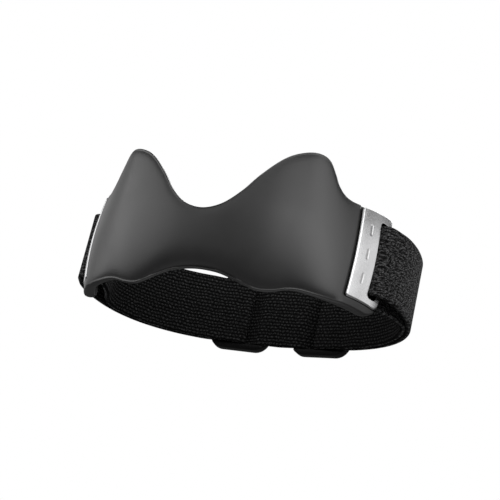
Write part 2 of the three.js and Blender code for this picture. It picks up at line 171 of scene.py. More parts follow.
# Half of the guard's upper edge from its middle (0) to the plate (1): place, share of the peak's
# height, share of the end's height.
UPPER_EDGE = [
    (0, 0.151, 0),
    (0.127, 0.214, 0),
    (0.235, 0.388, 0),
    (0.327, 0.611, 0),
    (0.443, 0.842, 0),
    (0.54, 0.953, 0),
    (0.645, 1, 0),
    (0.718, 0.959, 0),
    (0.77, 0.819, 0),
    (0.802, 0.708, 0),
    (0.849, 0.05, 1),
    (0.905, 0.01, 1),
    (1, 0, 1),
]

# Half of the lower edge in the same way: place, share of the skirt's depth, share of the end's.
LOWER_EDGE = [
    (0, 0.757, 0),
    (0.15, 0.793, 0),
    (0.262, 0.873, 0),
    (0.34, 0.94, 0),
    (0.441, 1, 0),
    (0.534, 0.98, 0),
    (0.617, 0.924, 0),
    (0.694, 0.904, 0),
    (0.8, 0, 0.987),
    (0.895, 0, 0.998),
    (1, 0, 1),
]

# The band's turn round the plate's outer bar, from outside to inside: share of the reach from the
# slot to the bar's far edge, then shares of the plate's crown, the turn's air and the wall under it.
SLOT_TURN = [
    (1.6, 1, 0.79, 0),
    (0.87, 1, 0.44, 0),
    (0.46, 1, 0.27, 0),
    (0.17, 1, 0, 0),
    (0.02, 0.34, 0, 0),
    (0, 0, 0, 0.38),
    (0.02, 0, 0, 0.72),
    (0.17, 0, 0, 0.94),
    (0.55, 0, 0, 1),
    (1, 0, 0, 1),
]

# The inner layer's way from that turn out to the outer layer, as shares of the distance.
CLOSE_UP = [(0.34, 0.34), (0.68, 0.86)]

# Places and thicknesses of the band over and round a slider's centre bar, as shares.
OVER_BAR = [
    (-0.9, -0.08, PRESSED_THICK),
    (-0.6, 0.55, PRESSED_THICK),
    (-0.25, 0.95, CROSS_THICK),
    (0, 1, CROSS_THICK),
    (0.25, 0.95, CROSS_THICK),
    (0.6, 0.55, PRESSED_THICK),
    (0.9, -0.08, PRESSED_THICK),
]
END_FOLD = [
    (6, 0, -1.4, PRESSED_THICK),
    (2, 0, -1.05, FOLD_THICK),
    (-1, 0, -1, FOLD_THICK),
    (-1, -0.7, -0.7, FOLD_THICK),
    (-1, -1, 0, FOLD_THICK),
    (-1, -0.7, 0.7, FOLD_THICK),
    (-1, 0, 1, FOLD_THICK),
    (1.2, 0, 1, FOLD_THICK),
]


def smooth(share):
    """A soft step from 0 to 1."""
    share = np.clip(share, 0, 1)
    return share * share * (3 - 2 * share)


class Quarter:
    """A quarter of a superellipse as a curve by arc length from the Y axis, mirrored for arc < 0."""

    samples = 6000
    step = 0.4

    def __init__(self, half_width, depth, power, side):
        angle = np.linspace(0, math.pi / 2, self.samples)
        self.x = half_width * np.sin(angle) ** (2 / power)
        self.y = side * depth * np.abs(np.cos(angle)) ** (2 / power)
        steps = np.hypot(np.diff(self.x), np.diff(self.y))
        self.arc = np.concatenate([[0], np.cumsum(steps)])
        self.length = self.arc[-1]
        self.side = side

    def place(self, arc):
        far = np.minimum(np.abs(arc), self.length)
        x = np.interp(far, self.arc, self.x) * np.where(np.asarray(arc) < 0, -1, 1)
        return np.stack([x, np.interp(far, self.arc, self.y)], -1)

    def along(self, arc):
        way = self.place(np.add(arc, self.step)) - self.place(np.subtract(arc, self.step))
        return way / np.linalg.norm(way, axis=-1, keepdims=True)

    def outward(self, arc):
        way = self.along(arc)
        return self.side * np.stack([-way[..., 1], way[..., 0]], -1)

    def off(self, arc, out):
        return self.place(arc) + self.outward(arc) * np.asarray(out)[..., None]


front = Quarter(SHELL_HALF_WIDTH, SHELL_FRONT_DEPTH, SHELL_POWER, -1)
back = Quarter(LOOP_HALF_WIDTH, LOOP_BACK_DEPTH, LOOP_POWER, 1)


def spline(points, steps, alpha):
    """A Catmull-Rom curve through points: alpha 0 is uniform, 0.5 centripetal."""
    p = np.asarray(points, float)
    p = np.vstack([2 * p[0] - p[1], p, 2 * p[-1] - p[-2]])
    parts = []
    shortest = 1e-4
    for a, b, c, d in zip(p, p[1:], p[2:], p[3:]):
        knots = [np.linalg.norm(q - r) ** alpha or 1 for q, r in ((b, a), (c, b), (d, c))]
        first, middle, last = (max(k, shortest) for k in knots)
        start = (b - a) / first - (c - a) / (first + middle) + (c - b) / middle
        end = (c - b) / middle - (d - b) / (middle + last) + (d - c) / last
        t = np.linspace(0, 1, steps, endpoint=False)[:, None]
        start, end = start * middle, end * middle
        parts.append(
            b
            + start * t
            + (3 * (c - b) - 2 * start - end) * t**2
            + (2 * (b - c) + start + end) * t**3
        )
    return np.vstack(parts + [p[-2:-1]])


def edge_curve(rows, height, end_height):
    """The height of the guard's edge over the arc, from a table's rows."""
    spots = [(place * FRONT_RUN, main * height + end * end_height) for place, main, end in rows]
    mirrored = [(-spots[1][0], spots[1][1])] + spots
    line = spline(mirrored, EDGE_CURVE_STEPS, alpha=0)
    return lambda arc: np.interp(np.abs(arc), line[:, 0], line[:, 1])


def plate_top(arc):
    """The height of a plate's upper edge, which rises a little outwards."""
    share = (np.abs(arc) - PLATE_START) / (PLATE_END - PLATE_START)
    return PLATE_HALF + PLATE_RISE * (share - 0.5)


END_TOP = plate_top(FRONT_RUN) + TOP_BORDER
END_BOTTOM = PLATE_HALF + BOTTOM_BORDER
front_top = edge_curve(UPPER_EDGE, PEAK_HEIGHT, END_TOP)
front_bottom = edge_curve(LOWER_EDGE, SKIRT_DEPTH, END_BOTTOM)


def corner_cut(distance, radius):
    """How much a rounded corner takes off at a distance from the end."""
    inside = radius - np.clip(distance, 0, radius)
    return radius - np.sqrt(radius * radius - inside * inside)


def shell_top(arc):
    edge = np.where(np.abs(arc) < FRONT_RUN, front_top(arc), plate_top(arc) + TOP_BORDER)
    return edge - corner_cut(SHELL_END - np.abs(arc), END_TOP_CORNER)


def shell_bottom(arc):
    edge = np.where(np.abs(arc) < FRONT_RUN, front_bottom(arc), END_BOTTOM)
    return corner_cut(SHELL_END - np.abs(arc), END_BOTTOM_CORNER) - edge


def face_out(arc, z):
    """How far the guard's face stands out of the plan curve."""
    down = (BELLY_HEIGHT - z) / (BELLY_HEIGHT + SKIRT_DEPTH)
    up = (z - BELLY_HEIGHT) / (PEAK_HEIGHT - BELLY_HEIGHT)
    tuck = np.where(z < BELLY_HEIGHT, SKIRT_TUCK * down**2, PEAK_TUCK * up**2)
    bow = END_BOW * (1 - (z / PLATE_HALF) ** 2)
    belly_from = PLATE_START * BELLY_END
    share = 1 - smooth((np.abs(arc) - belly_from) / (PLATE_START - belly_from))
    return share * (BELLY_OUT - tuck) + (1 - share) * bow


def edge_hollow(arc, z):
    """The hollows along the guard's lower and upper edges, fading out at the plates."""

    def hollow(distance, reach):
        above = distance - HOLLOW_HEIGHT
        lip = np.exp(-((above / HOLLOW_HEIGHT) ** 2) * HOLLOW_FALLOFF)
        return np.where(above > 0, np.exp(-np.maximum(above, 0) / reach), lip)

    arch = smooth(1 - np.abs(arc) / ARCH_RUN)
    low = hollow(z - shell_bottom(arc), HOLLOW_REACH + ARCH_REACH * arch)
    low = low * (HOLLOW_DEPTH + ARCH_DEEPER * arch)
    high = UPPER_HOLLOW_DEPTH * hollow(shell_top(arc) - z, HOLLOW_REACH)
    return (low + high) * smooth((PLATE_START - np.abs(arc)) / HOLLOW_FADE)


def lip_thinning(arc, z):
    """How much thinner the wall gets towards its lower edge, taken off its inside."""
    near = np.exp(-np.maximum(z - shell_bottom(arc), 0) / LIP_RUN_UP)
    return LIP_THINNER * near * smooth((PLATE_START - np.abs(arc)) / HOLLOW_FADE)


def seam_dip(arc, z):
    """How far the face rounds down into the seam along each plate's inner edge."""
    near = smooth(1 - (PLATE_START - np.abs(arc)) / SEAM_RUN)
    return SEAM_DIP * near * smooth((PLATE_HALF + SEAM_PAST_PLATE - np.abs(z)) / SEAM_END_RUN)


def inner_face_out(arc, z, wall):
    """How far the wall's inside stands out of the plan curve."""
    hollow = edge_hollow(arc, z) * INNER_HOLLOW
    return face_out(arc, z) - hollow - wall + lip_thinning(arc, z)


def wall_at(arc):
    """The guard's thickness, growing towards its ends and rounded off there."""
    thicker = smooth(1 - (PLATE_START - np.abs(arc)) / (PLATE_START * (1 - BELLY_END)))
    wall = SHELL_WALL + (SHELL_END_WALL - SHELL_WALL) * thicker
    nose = 1 - np.minimum((SHELL_END - np.abs(arc)) / SHELL_END_NOSE, 1)
    return wall * np.sqrt(1 - NOSE_SHARPNESS * nose**2)


def mesh_object(name, vertices, faces, attributes=()):
    """A mesh in metres from millimetres, with vector attributes at its points."""
    mesh = bpy.data.meshes.new(name)
    mesh.from_pydata([tuple(v) for v in np.asarray(vertices) * MM], [], faces)
    for label, values in attributes:
        attribute = mesh.attributes.new(label, "FLOAT_VECTOR", "POINT")
        attribute.data.foreach_set("vector", np.asarray(values, np.float32).ravel())
    mesh.update()
    obj = bpy.data.objects.new(name, mesh)
    bpy.context.scene.collection.objects.link(obj)
    return obj


def grid_faces(rings, count, closed):
    """Quads between rings of the same number of points, each ring closed on itself."""
    faces = []
    for i in range(rings if closed else rings - 1):
        here, there = i * count, ((i + 1) % rings) * count
        for j in range(count):
            k = (j + 1) % count
            faces.append((here + j, here + k, there + k, there + j))
    return faces


def tube_faces(rings, count):
    """Quads between rings, and a flat face at each end."""
    faces = grid_faces(rings, count, False)
    last = (rings - 1) * count
    faces.append(tuple(reversed(range(count))))
    faces.append(tuple(range(last, last + count)))
    return faces


def loft(name, rings, attributes=()):
    """A closed body through rings of equal length, with flat ends."""
    rings = np.asarray(rings)
    count = rings.shape[1]
    faces = tube_faces(len(rings), count)
    return finished(mesh_object(name, rings.reshape(-1, 3), faces, attributes))


def finished(obj, sharp=40):
    """Faces turned outwards and shaded smooth, except at edges sharper than the angle."""
    mesh = obj.data
    body = bmesh.new()
    body.from_mesh(mesh)
    bmesh.ops.recalc_face_normals(body, faces=body.faces)
    body.to_mesh(mesh)
    body.free()
    mesh.shade_smooth()
    mesh.set_sharp_from_angle(angle=math.radians(sharp))
    return obj


def wall_ring(arc, top, bottom, rim, rows, rim_rows, outer, inner):
    """A ring across the wall: up the face, over the rim, down the inside, round the lower rim."""
    even = np.linspace(0, 1, rows + 1)
    z = bottom + rim + (top - bottom - 2 * rim) * (even + (1 - np.cos(math.pi * even)) / 2) / 2
    turn = np.linspace(0, math.pi, rim_rows + 1)[1:-1]

    def edge(height, up):
        middle = (outer(height) + inner(height)) / 2
        half = (outer(height) - inner(height)) / 2
        return height + up * rim * np.sin(turn), middle + up * half * np.cos(turn)

    upper = edge(top - rim, 1)
    lower = edge(bottom + rim, -1)
    heights = np.concatenate([z, upper[0], z[::-1], lower[0]])
    outs = np.concatenate([outer(z), upper[1], inner(z[::-1]), lower[1]])
    return np.column_stack([front.off(np.full_like(outs, arc), outs), heights])


def crowded(start, end, count):
    """Places between two ends, closer together towards both."""
    even = np.linspace(0, 1, count + 1)
    return start + (end - start) * (1 - np.cos(math.pi * even)) / 2


def shell_arcs():
    """Places along the guard, even up to its rounded ends and crowded there."""
    corner = SHELL_END - END_BOTTOM_CORNER
    even = np.linspace(0, corner, ARC_STEPS, endpoint=False)
    seam = np.linspace(PLATE_START - SEAM_RUN, PLATE_START - GAP, SEAM_STEPS)
    even = np.concatenate([even[np.abs(even - seam.mean()) > SEAM_RUN / 2], seam])
    turn = np.linspace(0, math.pi / 2, END_STEPS)
    rounded = SHELL_END - END_BOTTOM_CORNER * (1 - np.sin(turn))
    half = np.sort(np.concatenate([even, rounded]))
    return np.concatenate([-half[:0:-1], half])


def shell_ring(arc):
    wall = float(wall_at(arc))
    return wall_ring(
        arc,
        float(shell_top(arc)),
        float(shell_bottom(arc)),
        wall * RIM_SHARE,
        FACE_STEPS,
        RIM_STEPS,
        lambda z: face_out(arc, z) - edge_hollow(arc, z) - seam_dip(arc, z),
        lambda z: inner_face_out(arc, z, wall),
    )


def face_slab(name, start, end, top, bottom, corners, high, low):
    """A slab that follows the guard's face between two places along it."""
    rings = []
    for arc in crowded(start, end, CUTTER_ARC_STEPS):
        cut = corner_cut(arc - start, corners[0]) + corner_cut(end - arc, corners[1])
        rings.append(
            wall_ring(
                arc,
                top(arc) - cut,
                bottom + cut,
                GAP / 4,
                CUTTER_FACE_STEPS,
                CUTTER_RIM_STEPS,
                lambda z: face_out(arc, z) + high,
                lambda z: face_out(arc, z) + low,
            )
        )
    return loft(name, rings)


def cut_away(obj, cutters):
    """Take the cutters' volumes out of an object, and remove them."""
    for cutter in cutters:
        step = obj.modifiers.new("cut", "BOOLEAN")
        step.operation = "DIFFERENCE"
        step.solver = "EXACT"
        step.object = cutter
    apply_modifiers(obj)
    for cutter in cutters:
        bpy.data.objects.remove(cutter)


def apply_modifiers(obj):
    graph = bpy.context.evaluated_depsgraph_get()
    result = bpy.data.meshes.new_from_object(obj.evaluated_get(graph))
    old = obj.data
    obj.modifiers.clear()
    obj.data = result
    bpy.data.meshes.remove(old)
    result.name = obj.name


def mirrored(obj, name):
    """A copy of an object mirrored across the middle."""
    copy = obj.copy()
    copy.data = obj.data.copy()
    copy.name = copy.data.name = name
    bpy.context.scene.collection.objects.link(copy)
    copy.data.transform(Matrix.Scale(-1, 4, (1, 0, 0)))
    copy.data.flip_normals()
    return copy


def guard_cutters():
    pocket = face_slab(
        "pocket",
        PLATE_START - GAP * 2,
        PLATE_END + GAP,
        lambda arc: plate_top(arc) + GAP,
        -PLATE_HALF - GAP,
        (PLATE_INNER_CORNER, PLATE_OUTER_CORNER),
        SHELL_END_WALL,
        PLATE_PROUD - PLATE_THICK - GAP,
    )
    slot = face_slab(
        "slot",
        SLOT_START,
        SLOT_END,
        lambda arc: SLOT_HALF,
        -SLOT_HALF,
        (SLOT_CORNER, SLOT_CORNER),
        SHELL_END_WALL,
        -SHELL_END_WALL * 2,
    )
    return [pocket, slot, mirrored(pocket, "pocket_left"), mirrored(slot, "slot_left")]


def make_guard():
    guard = loft("guard_moulding", [shell_ring(arc) for arc in shell_arcs()])
    cut_away(guard, guard_cutters())
    return finished(guard, sharp=35)


def rounded_outline(start, end, bottom, top, corners, counts):
    """Points round a rectangle in the face's own plane. top gives the upper edge's height."""
    corner_count, upright_count, level_count = counts
    lower_left, lower_right, upper_right, upper_left = corners
    middles = [
        (end - lower_right, bottom + lower_right, lower_right, -math.pi / 2),
        (end - upper_right, top(end - upper_right) - upper_right, upper_right, 0),
        (start + upper_left, top(start + upper_left) - upper_left, upper_left, math.pi / 2),
        (start + lower_left, bottom + lower_left, lower_left, math.pi),
    ]
    arcs = []
    for x, z, radius, angle in middles:
        turn = angle + np.linspace(0, math.pi / 2, corner_count)
        arcs.append(np.column_stack([x + radius * np.cos(turn), z + radius * np.sin(turn)]))
    points = []
    for i, arc in enumerate(arcs):
        count = upright_count if i % 2 == 0 else level_count
        share = np.linspace(0, 1, count + 2)[1:-1, None]
        points.append(arc)
        points.append(arc[-1] + (arcs[(i + 1) % 4][0] - arc[-1]) * share)
    return np.vstack(points)


# Three short oblong grooves on each plate's inner bar
GROOVE_SPOTS = (10.4, 0, -10.4)
GROOVE_HALF = 1.7
GROOVE_RADIUS = 0.5
GROOVE_PLACE = 0.52
GROOVE_EDGE = 1.6
ENGRAVED_DEPTH = 0.14


def engraved(arc, z):
    """How deep the plate's grooves are at a place."""
    across = arc - (PLATE_START + INNER_BAR * GROOVE_PLACE)
    depth = np.zeros_like(z)
    for spot in GROOVE_SPOTS:
        beyond = np.maximum(np.abs(z - spot) - GROOVE_HALF, 0)
        distance = np.hypot(across, beyond) / GROOVE_RADIUS
        depth = np.maximum(depth, ENGRAVED_DEPTH * smooth(GROOVE_EDGE - distance))
    return depth


# Bevels of the plate's edge and of its slot. TOP_BEVEL is the share of the edge's bevel left along
# the top, down to TOP_BEVEL_BELOW under the plate's half height. It is full 1 mm lower.
PLATE_BEVEL = 0.9
TOP_BEVEL = 0.3
TOP_BEVEL_BELOW = 0.6
SLOT_BEVEL = 0.3


def bevel_rows(share, size):
    """Stations up a rounded bevel, from near the side wall to the face."""
    rows = []
    for turn in np.linspace(0, math.pi / 2, BEVEL_STEPS)[1:]:
        height = PLATE_PROUD - size * (1 - math.sin(turn))
        rows.append((share, size * (1 - math.cos(turn)), height))
    return rows


def plate_profile():
    """Stations from the slot's edge to the plate's: share of the way, offset inwards, height."""
    low = PLATE_PROUD - PLATE_THICK
    rows = [(0, 0, low), (0, 0, PLATE_PROUD - SLOT_BEVEL)]
    rows += bevel_rows(0, SLOT_BEVEL)
    rows += [(share, 0, PLATE_PROUD) for share in np.linspace(0, 1, PLATE_STEPS)[1:-1]]
    rows += bevel_rows(1, PLATE_BEVEL)[::-1]
    rows += [(1, 0, PLATE_PROUD - PLATE_BEVEL), (1, 0, low)]
    return rows


def inset(outline, distance):
    """The outline moved inwards by a distance."""
    along = np.roll(outline, -1, 0) - np.roll(outline, 1, 0)
    along /= np.linalg.norm(along, axis=1, keepdims=True)
    return outline + np.column_stack([-along[:, 1], along[:, 0]]) * distance


def make_plate():
    slot_corners = (SLOT_CORNER,) * 4
    slot = rounded_outline(
        SLOT_START, SLOT_END, -SLOT_HALF, lambda arc: SLOT_HALF, slot_corners, PLATE_POINTS
    )
    inner, outer = PLATE_INNER_CORNER, PLATE_OUTER_CORNER
    corners = (inner, outer, outer, inner)
    edge = rounded_outline(PLATE_START, PLATE_END, -PLATE_HALF, plate_top, corners, PLATE_POINTS)
    bevel = TOP_BEVEL + (1 - TOP_BEVEL) * smooth(PLATE_HALF - edge[:, 1:] - TOP_BEVEL_BELOW)
    slot_in, edge_in = inset(slot, -SLOT_BEVEL), inset(edge, PLATE_BEVEL * bevel)
    rings, plans = [], []
    for share, offset, height in plate_profile():
        if share in (0, 1):
            flat = inset(edge, offset * bevel) if share else inset(slot, -offset)
        else:
            flat = slot_in + (edge_in - slot_in) * share
        arc, z = flat.T
        height = height - engraved(arc, z) * (height == PLATE_PROUD)
        rings.append(np.column_stack([front.off(arc, face_out(arc, z) + height), z]))
        plans.append(np.column_stack([arc, z, height]))
    rings = np.array(rings)
    faces = grid_faces(len(rings), rings.shape[1], True)
    attributes = [("plan", np.vstack(plans))]
    plate = mesh_object("slot_plate_metal_right", rings.reshape(-1, 3), faces, attributes)
    return finished(plate)


def station(p, thick):
    """A point of the band's way in plan, with the band's thickness there."""
    return np.array([p[0], p[1], thick])


def slider_point(along, out):
    """A place in plan from the right slider's middle: along the band and out of it."""
    place = back.place(SLIDER_MIDDLE)
    way, normal = back.along(SLIDER_MIDDLE), back.outward(SLIDER_MIDDLE)
    return place + way * along + normal * (out - SLIDER_SINK)


def under_side_bar(side, layer):
    depth = PRESSED_THICK / 2 + layer * (PRESSED_THICK + GAP)
    along = side * (SLIDER_WIDTH / 2 - SIDE_BAR / 2)
    return station(slider_point(along, -depth), PRESSED_THICK)


def over_centre_bar():
    lift = CENTRE_BAR_THICK / 2 + GAP + FOLD_THICK + GAP + CROSS_THICK / 2
    opening = SLIDER_WIDTH / 2 - SIDE_BAR
    return [station(slider_point(a * opening, o * lift), thick) for a, o, thick in OVER_BAR]


def folded_end():
    reach = CENTRE_BAR_THICK / 2 + GAP + FOLD_THICK / 2
    side = (CENTRE_BAR - CENTRE_BAR_THICK) / 2
    return [
        station(slider_point(s * side + a * reach, o * reach), thick) for s, a, o, thick in END_FOLD
    ]


def slot_turn():
    """The band's way out through the slot and back round the outer bar."""
    lay = GAP + STRAP_THICK / 2
    span = SLOT_WIDTH + OUTER_BAR - lay
    stations = []
    for reach, crown, air, under in SLOT_TURN:
        over = crown * (CROWN + STRAP_THICK / 2) + air * TURN_AIR
        below = under * (SHELL_END_WALL + GAP + STRAP_THICK / 2)
        arc = SLOT_START + lay + reach * span
        stations.append(station(front.off(arc, over - below), STRAP_THICK))
    return stations


def half_way():
    """Half of the band's way, from the middle of the back to the end round the centre bar."""
    first = SLIDER_MIDDLE + SLIDER_WIDTH / 2 + SIDE_BAR
    arcs = np.linspace(first, back.length - STRAP_THICK, LOOP_STATIONS)
    outer = [station(back.off(arc, -STRAP_THICK / 2), STRAP_THICK) for arc in arcs]
    depth = STRAP_THICK * 1.5 + GAP
    inner = [station(back.off(arc, -depth), STRAP_THICK) for arc in arcs[:-2]][::-1]
    turn = slot_turn()
    last, closed = turn[-1], inner[0]
    close_up = [
        station(
            (last[0] + (closed[0] - last[0]) * across, last[1] + (closed[1] - last[1]) * along),
            STRAP_THICK,
        )
        for along, across in CLOSE_UP
    ]
    return (
        [under_side_bar(-1, 0)]
        + over_centre_bar()
        + [under_side_bar(1, 0)]
        + outer
        + turn
        + close_up
        + inner
        + [under_side_bar(1, 1)]
        + folded_end()
    )


def strap_section(thick):
    """Offsets across the band and heights, once round its section."""
    half_thick, half_width = thick / 2, STRAP_WIDTH / 2
    round_off = min(STRAP_EDGE, half_thick / 2)
    turn = np.linspace(0, math.pi / 2, BAND_CORNER_STEPS)
    corner_out = half_thick - round_off + round_off * np.cos(turn)
    corner_z = half_width - round_off + round_off * np.sin(turn)
    straight = half_width - round_off
    side = np.linspace(-straight, straight, BAND_SIDE_STEPS)[1:-1]
    out = np.concatenate(
        [
            np.full_like(side, half_thick),
            corner_out,
            -corner_out[::-1],
            np.full_like(side, -half_thick),
            -corner_out,
            corner_out[::-1],
        ]
    )
    z = np.concatenate([side, corner_z, corner_z[::-1], side[::-1], -corner_z, -corner_z[::-1]])
    return out, z


def make_strap():
    half = half_way()
    other = [p * (-1, 1, 1) for p in half[::-1]]
    middle = station(back.off(0, -STRAP_THICK / 2), STRAP_THICK)
    way = spline(other + [middle] + half, BAND_STEPS, alpha=0.5)
    plan = way[:, :2]
    along = np.gradient(plan, axis=0)
    along /= np.linalg.norm(along, axis=1, keepdims=True)
    across = np.column_stack([-along[:, 1], along[:, 0]])
    steps = np.linalg.norm(np.diff(plan, axis=0), axis=1)
    length = np.concatenate([[0], np.cumsum(steps)])
    length -= length[-1] / 2
    rings, plans = [], []
    for p, normal, thick, far in zip(plan, across, way[:, 2], length):
        out, z = strap_section(thick)
        rings.append(np.column_stack([p + normal * out[:, None], z]))
        outwards = np.sign(out) * (normal @ (p / np.linalg.norm(p)))
        plans.append(np.column_stack([np.full_like(z, far), z, outwards]))
    strap = loft("knitted_band", rings, [("plan", np.vstack(plans))])
    return finished(strap, sharp=60), length[-1] * 2


def squircle(count, power):
    """Points round a unit square with rounded corners."""
    turn = np.linspace(0, 2 * math.pi, count, endpoint=False)
    x, y = np.cos(turn), np.sin(turn)
    return np.column_stack(
        [np.sign(x) * np.abs(x) ** (2 / power), np.sign(y) * np.abs(y) ** (2 / power)]
    )


def slider_frame():
    """The slider's frame in its own axes: along the band, up, and out of the band."""
    half = SLIDER_WIDTH / 2
    high = SLIDER_HALF_HEIGHT
    window_x, window_y = half - SIDE_BAR, high - SLIDER_RAIL
    corners = (WINDOW_CORNER,) * 4
    window = rounded_outline(
        -window_x, window_x, -window_y, lambda x: window_y, corners, SLIDER_POINTS
    )
    edge = rounded_outline(-half, half, -high, lambda x: high, (SLIDER_CORNER,) * 4, SLIDER_POINTS)
    top = GAP + SLIDER_THICK
    rings = []
    for share, rise in squircle(RAIL_POINTS, RAIL_SQUARENESS):
        flat = window + (edge - window) * (share + 1) / 2
        lip = smooth((np.abs(flat[:, 1]) - window_y) / RAIL_LIP_RUN + 1)
        low = GAP - RAIL_LIP * lip
        height = (low + top) / 2 + rise * (top - low) / 2
        rings.append(np.column_stack([flat, height]))
    rings = np.array(rings)
    return rings.reshape(-1, 3), grid_faces(len(rings), rings.shape[1], True)


def slider_bar():
    """The centre bar, with its ends inside the frame's rails."""
    half = SLIDER_HALF_HEIGHT - SLIDER_RAIL / 2
    section = squircle(BAR_POINTS, BAR_SQUARENESS) * (CENTRE_BAR / 2, CENTRE_BAR_THICK / 2)
    heights = np.linspace(-half, half, BAR_STEPS)
    rings = np.array([np.insert(section, 1, z, axis=1) for z in heights])
    return rings.reshape(-1, 3), tube_faces(len(rings), rings.shape[1])


def make_slider(name, side):
    frame_points, frame_faces = slider_frame()
    bar_points, bar_faces = slider_bar()
    start = len(frame_points)
    faces = frame_faces + [tuple(i + start for i in face) for face in bar_faces]
    local = np.vstack([frame_points, bar_points])
    arc = side * SLIDER_MIDDLE
    way, normal = back.along(arc), back.outward(arc)
    place = back.place(arc) - normal * SLIDER_SINK
    plan = place + way * local[:, :1] + normal * local[:, 2:]
    slider = mesh_object(name, np.column_stack([plan, local[:, 1]]), faces)
    return finished(slider, sharp=50)


# The range that most of a noise's values fall in
NOISE_LOW = 0.3
NOISE_HIGH = 0.7


class Material:
    """A node material, with short calls for the nodes that the surfaces here need."""

    def __init__(self, name):
        self.material = bpy.data.materials.new(name)
        self.material.use_nodes = True
        self.nodes = self.material.node_tree.nodes
        self.links = self.material.node_tree.links
        self.shader = self.nodes["Principled BSDF"]

    def node(self, kind, inputs=(), **settings):
        node = self.nodes.new(kind)
        for key, value in settings.items():
            setattr(node, key, value)
        for key, value in dict(inputs).items():
            self.put(value, node.inputs[key])
        return node

    def put(self, value, socket):
        if isinstance(value, bpy.types.NodeSocket):
            self.links.new(value, socket)
        else:
            socket.default_value = value

    def math(self, operation, *values):
        node = self.node("ShaderNodeMath", operation=operation)
        for i, value in enumerate(values):
            self.put(value, node.inputs[i])
        return node.outputs[0]

    def place(self):
        return self.node("ShaderNodeTexCoord").outputs["Object"]

    def plan(self):
        """Distance along the piece, height and depth, in millimetres."""
        source = self.node("ShaderNodeAttribute", attribute_name="plan")
        parts = self.node("ShaderNodeSeparateXYZ", {"Vector": source.outputs["Vector"]})
        return parts.outputs[0], parts.outputs[1], parts.outputs[2]

    def vector(self, x, y, z=0.0):
        return self.node("ShaderNodeCombineXYZ", {"X": x, "Y": y, "Z": z}).outputs[0]

    def noise(self, vector, scale, detail=3.0, rough=0.55):
        inputs = {"Vector": vector, "Scale": scale, "Detail": detail, "Roughness": rough}
        return self.node("ShaderNodeTexNoise", inputs).outputs["Fac"]

    def span(self, value, low, high, to_low, to_high):
        inputs = {
            "Value": value,
            "From Min": low,
            "From Max": high,
            "To Min": to_low,
            "To Max": to_high,
        }
        return self.node("ShaderNodeMapRange", inputs).outputs[0]

    def spread(self, noise, low, high):
        """A noise's usual range stretched between two values."""
        return self.span(noise, NOISE_LOW, NOISE_HIGH, low, high)

    def mix(self, share, first, second):
        node = self.node("ShaderNodeMix", data_type="RGBA")
        self.put(share, node.inputs["Factor"])
        self.put(first, node.inputs["A"])
        self.put(second, node.inputs["B"])
        return node.outputs["Result"]

    def ramp(self, share, low, high):
        """A grey colour between two values."""
        return self.mix(share, (low, low, low * 1.01, 1), (high, high, high * 1.01, 1))

    def bump(self, height, strength, distance, under=None):
        inputs = {"Height": height, "Strength": strength, "Distance": distance}
        if under is not None:
            inputs["Normal"] = under
        return self.node("ShaderNodeBump", inputs).outputs[0]

    def finish(self, **sockets):
        for key, value in sockets.items():
            self.put(value, self.shader.inputs[key.replace("_", " ")])
        return self.material


# The guard's soft coating: a faint mottle and a very fine grain. Noise scales count per metre,
# and a bump is a strength and a depth in metres.
GUARD_DARK = (0.0085, 0.0083, 0.0085, 1)
GUARD_PALE = (0.011, 0.0107, 0.011, 1)
GUARD_ROUGHNESS = (0.37, 0.42)
GUARD_GRAIN_ROUGHNESS = 0.03
GUARD_GRAIN_SCALE = 2600.0
GUARD_MOTTLE_SCALE = 60.0
GUARD_MOTTLE_RANGE = (0.35, 0.65)
GUARD_BUMP = (0.12, 0.00006)


def guard_material():
    m = Material("soft_touch_grey")
    place = m.place()
    grain = m.noise(place, GUARD_GRAIN_SCALE, detail=2.0)
    mottle = m.noise(place, GUARD_MOTTLE_SCALE)
    colour = m.mix(m.span(mottle, *GUARD_MOTTLE_RANGE, 0, 1), GUARD_DARK, GUARD_PALE)
    grained = m.spread(grain, -GUARD_GRAIN_ROUGHNESS, GUARD_GRAIN_ROUGHNESS)
    rough = m.math("ADD", m.spread(mottle, *GUARD_ROUGHNESS), grained)
    normal = m.bump(grain, *GUARD_BUMP)
    return m.finish(Base_Color=colour, Roughness=rough, Normal=normal, Specular_IOR_Level=0.8)


# The plates' metal: brushed along the height, darker in the grooves, and with painted shade that
# makes its sides nearly black
PLATE_GREYS = (0.86, 0.93)
PLATE_ROUGHNESS = (0.24, 0.28)
PLATE_BRUSH_ROUGHNESS = 0.03
PLATE_CLOUD_SCALE = 160.0
BRUSH_ALONG = 6.0
BRUSH_UP = 0.5
BRUSH_SCALE = 3.0
PLATE_BUMP = (0.1, 0.00005)
GROOVE_GREY = (0.3, 0.3, 0.3, 1)
GROOVE_GREY_SHARE = 0.6
# Painted shade: below the plate's face, its side walls are coloured near black for the shadow in the
# seam beside the guard
SIDE_PAINTED_SHADE = (0.03, 0.03, 0.03, 1)
SIDE_SHADE_HEIGHTS = (-0.3, 0.05)


